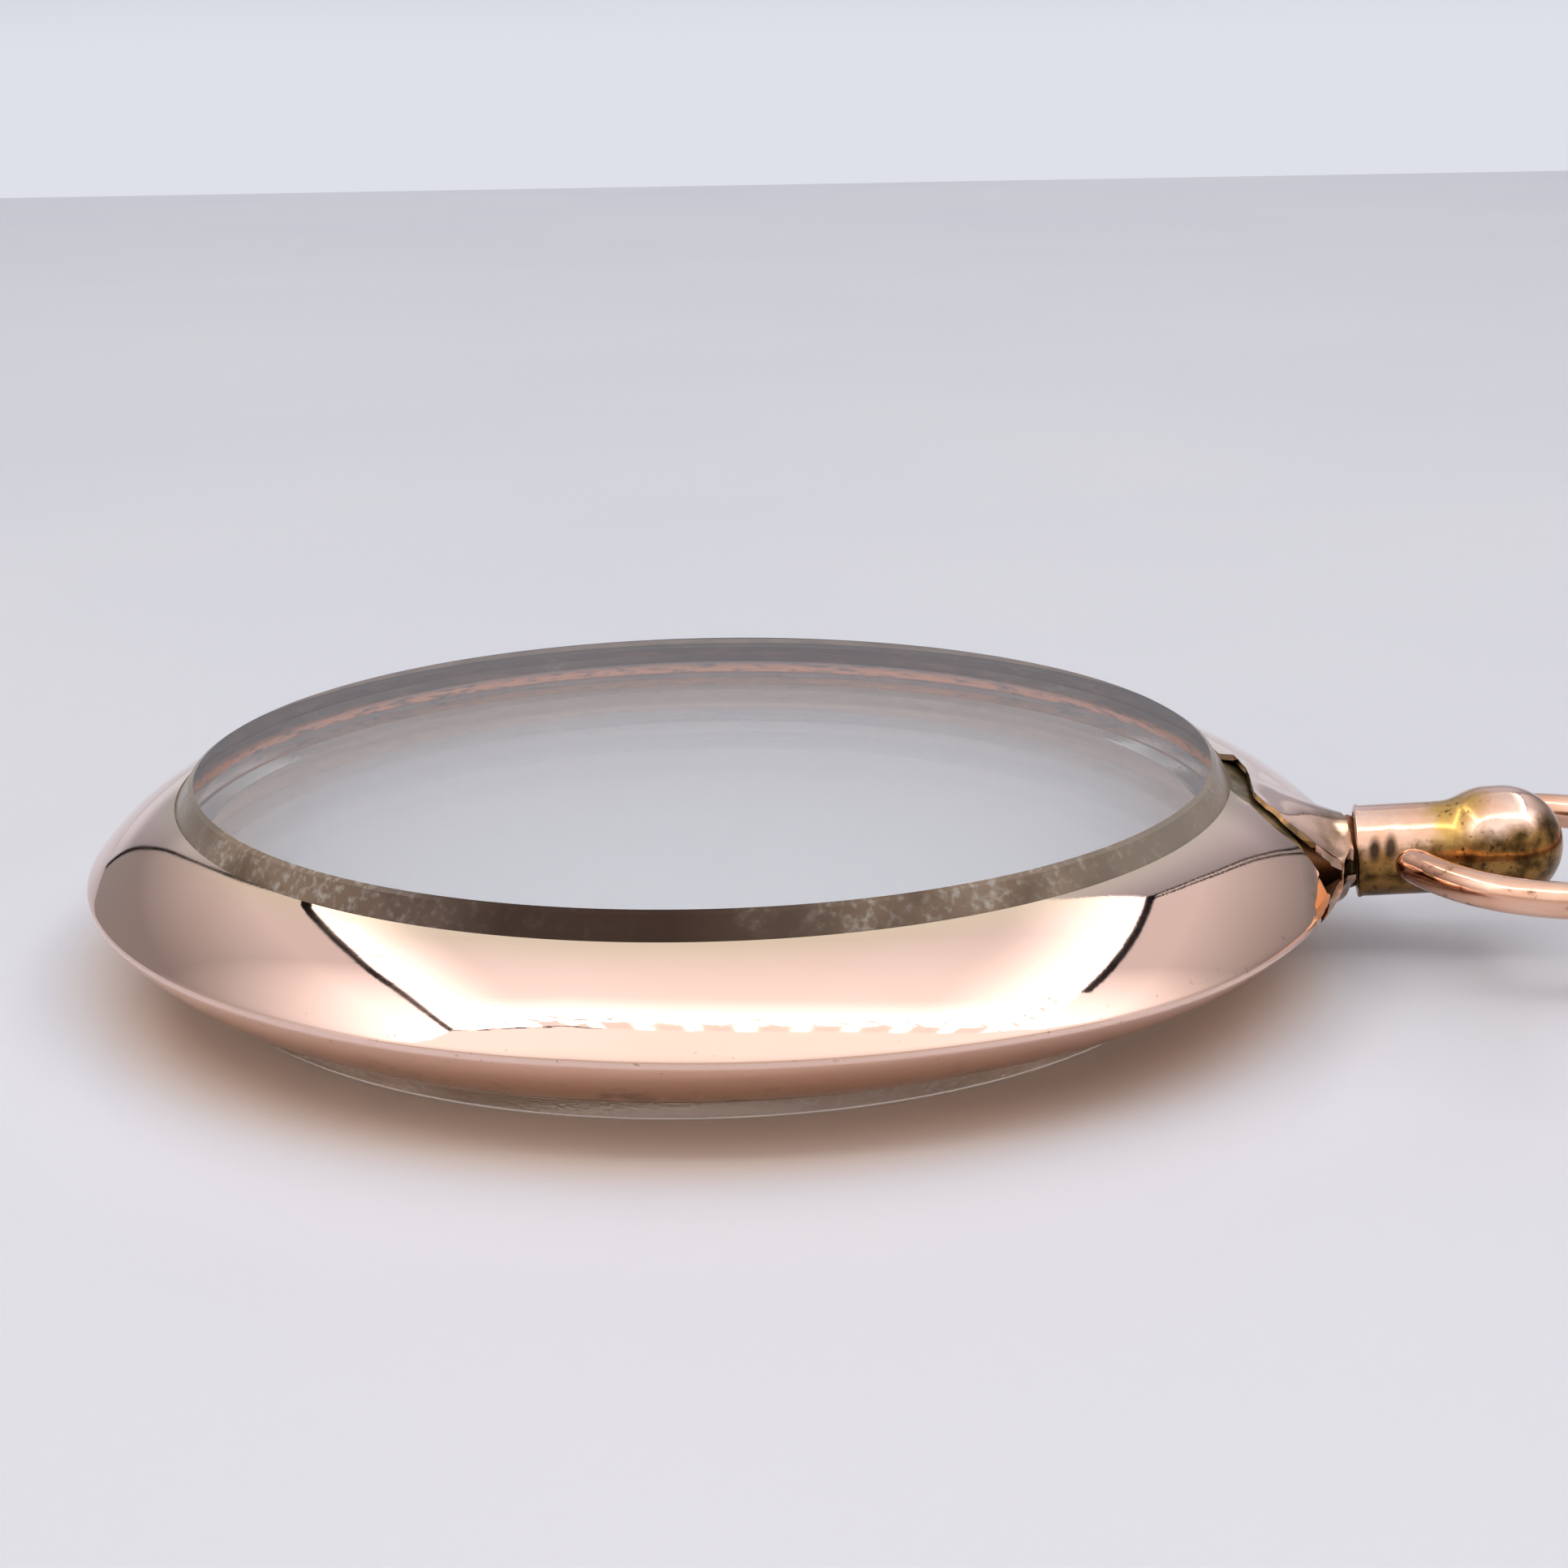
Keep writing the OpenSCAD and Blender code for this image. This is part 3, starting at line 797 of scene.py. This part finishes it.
def cut_disc(name, seat_z, up):
    """A bevelled disc with its seat at one height and its face above or below it."""
    outline = [(0, 0), (disc_r, 0), (disc_r, disc_t - bevel_h),
               (face_r + arris * bevel_run, disc_t - arris), (face_r - arris, disc_t), (0, disc_t)]
    disc = turned(name, [(r, seat_z + up * h) for r, h in outline], 256)
    bevel_seen = bevels[0 if up > 0 else 1]
    finish_piece(disc, name, "locket", "locket_glass", clear_glass, bevel_seen, ground_edge,
                 smooth_angle=25)
    for face in disc.data.polygons:
        lean = abs(face.normal.z)
        middle = math.hypot(face.center.x, face.center.y)
        if lean < edge_lean:
            face.material_index = 2
        elif lean < bevel_lean and middle > face_r - arris:
            face.material_index = 1
    return disc


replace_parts(cut_disc("top_disc", total_h - disc_t, 1), "upper_glass")
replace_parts(cut_disc("bottom_disc", disc_t, -1), "lower_glass")

# Neck post
# A short gold screw soldered into the collar of the ring's far end, on the line that the cap lies
# along. Its thread holds old dirt, so it is darker than the sheet.


def lay_along_neck(piece, x):
    """Turns a piece made about Z so that it runs along the neck from a place on it."""
    tilt = Matrix.Rotation(math.pi / 2 - neck_lean, 4, "Y")
    piece.data.transform(Matrix.Translation(neck_point(x)) @ tilt)


post_r = 1.0 * MM
post_root_x = 15.6 * MM
thread_pitch = 0.3 * MM
thread_depth = 0.06 * MM
post_past_mouth = 0.95 * MM
thread_before_mouth = 0.75 * MM
post_len = mouth_x + post_past_mouth - post_root_x
thread_from = mouth_x - post_root_x - thread_before_mouth
post_line = [(0, 0), (post_r, 0), (post_r, thread_from)]
for turn in range(int((post_len - thread_from) / thread_pitch)):
    post_line.append((post_r - thread_depth, thread_from + (turn + 0.5) * thread_pitch))
    post_line.append((post_r, thread_from + (turn + 1) * thread_pitch))
post_line += [(post_r - thread_depth, post_len), (0, post_len)]
post = turned("post", post_line, 64)
lay_along_neck(post, post_root_x)
finish_piece(post, "neck_post", "locket", "frame_gold", tarnished)

# Screw cap
# A tube closed by a hollow ball, raised from one piece of gold. It screws over the post and
# holds the ring shut. Its top is rubbed bright, and tarnish and old solder stay lower down.
sleeve_r = 1.235 * MM
ball_r = 1.58 * MM
ball_x = 3.86 * MM
ball_stretch = 0.3 * MM
fillet_r = 1.25 * MM
bore_gap = 0.05 * MM
bore_r = post_r + bore_gap
bore_depth = 1.07 * MM
mouth_round = 0.07 * MM
pivot_x = 1.36 * MM
near_ball = ball_x - ball_stretch
fillet_back = math.sqrt((ball_r + fillet_r) ** 2 - (sleeve_r + fillet_r) ** 2)
fillet_turn = math.atan2(fillet_back, sleeve_r + fillet_r)


def cap_outline():
    """The cap's section from its bore, round the mouth and along the sleeve to the end of the ball."""
    mouth_steps, sleeve_steps, fillet_steps, foot_steps, ball_steps = 8, 20, 16, 14, 32
    line = [(0, bore_depth), (bore_r, bore_depth), (bore_r, mouth_round)]
    middle = (bore_r + sleeve_r + mouth_round / 2) / 2
    half = (sleeve_r + mouth_round / 2 - bore_r) / 2
    for i in range(1, mouth_steps):
        angle = math.pi * i / mouth_steps
        line.append((middle - half * math.cos(angle), mouth_round - mouth_round * math.sin(angle)))
    sleeve_from = 2.2 * mouth_round
    sleeve_end = near_ball - fillet_back
    line += [(sleeve_r + mouth_round / 2, mouth_round), (sleeve_r, sleeve_from)]
    for i in range(1, sleeve_steps):
        line.append((sleeve_r, sleeve_from + (sleeve_end - sleeve_from) * i / sleeve_steps))
    for i in range(fillet_steps + 1):
        angle = fillet_turn * i / fillet_steps
        out, on = fillet_r * math.cos(angle), fillet_r * math.sin(angle)
        line.append((sleeve_r + fillet_r - out, sleeve_end + on))
    for i in range(1, foot_steps + 1):
        angle = fillet_turn * (1 - i / foot_steps)
        line.append((ball_r * math.cos(angle), near_ball - ball_r * math.sin(angle)))
    for i in range(ball_steps + 1):
        angle = math.pi / 2 * i / ball_steps
        line.append((ball_r * math.cos(angle), ball_x + ball_r * math.sin(angle)))
    return line


cap = turned("cap", cap_outline(), 160)
lay_along_neck(cap, mouth_x)

# Two small dents on the near side of the sleeve, as from a jeweller's pliers
plier_marks = [(18.34 * MM, -17), (18.76 * MM, -20)]
mark_wide = 0.14 * MM
mark_tall = 0.3 * MM
mark_deep = 0.06 * MM
mark_spots = []
for mark_x, lean in plier_marks:
    outward = Vector((0, -math.cos(math.radians(lean)), -math.sin(math.radians(lean))))
    mark_spots.append((neck_point(mark_x) + outward * sleeve_r, outward))
for vertex in cap.data.vertices:
    for spot, outward in mark_spots:
        away = vertex.co - spot
        if away.length < sleeve_r:
            beside = away - outward * away.dot(outward)
            tall = math.hypot(beside.y, beside.z) / mark_tall
            vertex.co -= outward * mark_deep * math.exp(-tall ** 2 - (beside.x / mark_wide) ** 2)

# Worn rose gold: bright where fingers rub it, with brown and olive tarnish that starts at a ragged
# line lower down, yellow solder at the foot of the ball, small pits, a trace of verdigris and painted
# shade in the plier dents
worn_gold = new_material("worn rose gold cap")
place = add_node(worn_gold, "TexCoord")["Object"]
spot = add_node(worn_gold, "SeparateXYZ", {"Vector": place})
cloud = add_node(worn_gold, "TexNoise", {"Vector": place, "Scale": 1 / (0.8 * MM), "Detail": 5.0})["Fac"]
ragged = add_node(worn_gold, "MapRange", {"Value": cloud, "To Min": -0.6 * MM, "To Max": 0.6 * MM})[0]
rub_line = add_node(worn_gold, "Math", {
    0: spot["X"], 1: -0.25, 2: spot["Z"]}, operation="MULTIPLY_ADD")[0]
rub_line = add_node(worn_gold, "Math", {0: rub_line, 1: ragged}, operation="ADD")[0]
low_share = add_node(worn_gold, "MapRange", {
    "Value": rub_line, "From Min": -1.95 * MM, "From Max": -1.35 * MM, "To Min": 1, "To Max": 0})[0]
joint_far = add_node(worn_gold, "Math", {0: spot["X"], 1: 20.3 * MM}, operation="SUBTRACT")[0]
joint_far = add_node(worn_gold, "Math", {0: joint_far}, operation="ABSOLUTE")[0]
solder_line = add_node(worn_gold, "Math", {0: joint_far, 1: ragged}, operation="ADD")[0]
solder = add_node(worn_gold, "MapRange", {
    "Value": solder_line, "From Min": 0.3 * MM, "From Max": 0.9 * MM, "To Min": 0.92, "To Max": 0})[0]
green_near = add_node(worn_gold, "MapRange", {
    "Value": joint_far, "From Min": 0.1 * MM, "From Max": 0.45 * MM, "To Min": 1, "To Max": 0})[0]
green_low = add_node(worn_gold, "MapRange", {
    "Value": spot["Z"], "From Min": 2.4 * MM, "From Max": 3.1 * MM, "To Min": 1, "To Max": 0})[0]
green_near = add_node(worn_gold, "Math", {0: green_near, 1: green_low}, operation="MULTIPLY")[0]
stained = add_node(worn_gold, "Math", {0: low_share, 1: solder}, operation="MAXIMUM")[0]
# Painted shade: the plier dents are painted dark, as upright ovals
dent_shade = 0.0
upright = Vector((1, 0.45, 0.45))
squeezed = add_node(worn_gold, "VectorMath", {0: place, 1: upright}, operation="MULTIPLY")["Vector"]
for mark_at, _ in mark_spots:
    off_mark = add_node(worn_gold, "VectorMath", {
        0: squeezed, 1: mark_at * upright}, operation="DISTANCE")["Value"]
    in_mark = add_node(worn_gold, "MapRange", {
        "Value": off_mark, "From Min": 0.08 * MM, "From Max": 0.2 * MM, "To Min": 0.9, "To Max": 0})[0]
    dent_shade = add_node(worn_gold, "Math", {0: in_mark, 1: dent_shade}, operation="MAXIMUM")[0]
cap_tone = lay_tones(
    worn_gold, place, linear("eccabb"),
    ("dfae90", 1, all_over, 1.5, 3, 0.4, 0.65), ("c39a52", 1, solder), ("967040", 1, low_share),
    ("46351c", 1, low_share, 0.7, 6, 0.42, 0.6), ("30241e", 1, dent_shade),
    ("3e3022", 1, stained, 0.18, 3, 0.6, 0.7), ("7fb08a", 0.8, green_near, 0.35, 4, 0.6, 0.66))
cloud = add_node(worn_gold, "TexNoise", {"Vector": place, "Scale": 1 / MM, "Detail": 5.0})["Fac"]
cap_rough = add_node(worn_gold, "MapRange", {
    "Value": cloud, "From Min": 0.35, "From Max": 0.7, "To Min": 0.05, "To Max": 0.13})[0]
cap_rough = add_node(worn_gold, "Math", {
    0: stained, 1: 0.12, 2: cap_rough}, operation="MULTIPLY_ADD")[0]
dents = add_node(worn_gold, "TexNoise", {"Vector": place, "Scale": 1 / (0.9 * MM), "Detail": 2.0})["Fac"]
dented = add_node(worn_gold, "Bump", {"Height": dents, "Strength": 0.6, "Distance": 0.02 * MM})["Normal"]
pits = add_node(worn_gold, "TexNoise", {"Vector": place, "Scale": 1 / (0.14 * MM), "Detail": 5.0})["Fac"]
pitted = add_node(worn_gold, "Bump", {
    "Height": pits, "Strength": 0.35, "Distance": 0.008 * MM, "Normal": dented})["Normal"]
worn_shader = add_node(worn_gold, "BsdfPrincipled", {
    "Base Color": cap_tone, "Metallic": 1.0, "Roughness": cap_rough, "Normal": pitted})
add_node(worn_gold, "OutputMaterial", {"Surface": worn_shader["BSDF"]})
finish_piece(cap, "ball_cap", "cap", "cap_gold", worn_gold, smooth_angle=50)
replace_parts(cap, "screw_cap")

# Bow
# A ring of drawn gold wire. Its two ends are turned in, filed down to pegs and sprung into the
# holes in the sides of the cap, so that it swings.
pivot_at = neck_point(mouth_x + pivot_x)
wire_r = 0.475 * MM
bow_r = 4.06 * MM
bow_out = 3.92 * MM
peg_r = 0.3 * MM
peg_tip = 0.66 * MM
gap_half = 2.0 * MM
open_half = math.asin(gap_half / bow_r)


def bow_route():
    """Places and wire radii along the bow, from one peg's tip to the other's."""
    start_x = bow_out - bow_r * math.cos(open_half)
    # Each row: how far out and across from the pivot, and the radius, as the peg swells to wire
    half = [((0, peg_tip), peg_r), ((0, 1.16 * MM), peg_r), ((0, 1.24 * MM), peg_r * 1.12),
            ((0.01 * MM, 1.32 * MM), 0.40 * MM), ((0.04 * MM, 1.42 * MM), 0.45 * MM),
            ((0.10 * MM, 1.54 * MM), 0.468 * MM), ((0.20 * MM, 1.70 * MM), wire_r),
            (((start_x + 0.20 * MM) / 2, 1.84 * MM), wire_r)]
    arc_steps = 96
    arc = []
    for i in range(arc_steps + 1):
        angle = math.pi - open_half - (2 * math.pi - 2 * open_half) * i / arc_steps
        arc.append(((bow_out + bow_r * math.cos(angle), bow_r * math.sin(angle)), wire_r))
    other = [((x, -y), r) for (x, y), r in reversed(half)]
    return half + arc + other


route = bow_route()
curve = bpy.data.curves.new("bow_wire", "CURVE")
curve.dimensions = "3D"
curve.bevel_depth = 1
curve.bevel_resolution = 8
curve.use_fill_caps = True
spline = curve.splines.new("POLY")
spline.points.add(len(route) - 1)
for point, ((x, y), r) in zip(spline.points, route):
    wire_at = pivot_at + Vector((x, y, 0))
    point.co = (*wire_at, 1)
    point.radius = r
bow = bpy.data.objects.new("bow_wire", curve)
bpy.context.scene.collection.objects.link(bow)
select_only(bow)
bpy.ops.object.convert(target="MESH")
bow = bpy.context.object

# Drawn wire: softer gold, polished and then worn, a little redder than the ring and stained in places
wire_gold = new_material("drawn rose gold wire")
place = add_node(wire_gold, "TexCoord")["Object"]
wire_tone = lay_tones(
    wire_gold, place, linear("e9bfa8"),
    ("dca78b", 1, all_over, 1.8, 4, 0.4, 0.65), ("7d4f38", 0.75, all_over, 0.45, 4, 0.6, 0.7))
cloud = add_node(wire_gold, "TexNoise", {"Vector": place, "Scale": 1 / (1.2 * MM), "Detail": 5.0})["Fac"]
wire_rough = add_node(wire_gold, "MapRange", {
    "Value": cloud, "From Min": 0.35, "From Max": 0.7, "To Min": 0.09, "To Max": 0.2})[0]
waves = add_node(wire_gold, "TexNoise", {"Vector": place, "Scale": 1 / (1.1 * MM), "Detail": 2.0})["Fac"]
waved = add_node(wire_gold, "Bump", {"Height": waves, "Strength": 0.7, "Distance": 0.02 * MM})["Normal"]
wire_shader = add_node(wire_gold, "BsdfPrincipled", {
    "Base Color": wire_tone, "Metallic": 1.0, "Roughness": wire_rough, "Normal": waved})
add_node(wire_gold, "OutputMaterial", {"Surface": wire_shader["BSDF"]})
finish_piece(bow, "wire_bow", "bow", "bow_gold", wire_gold)
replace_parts(bow, "bow")
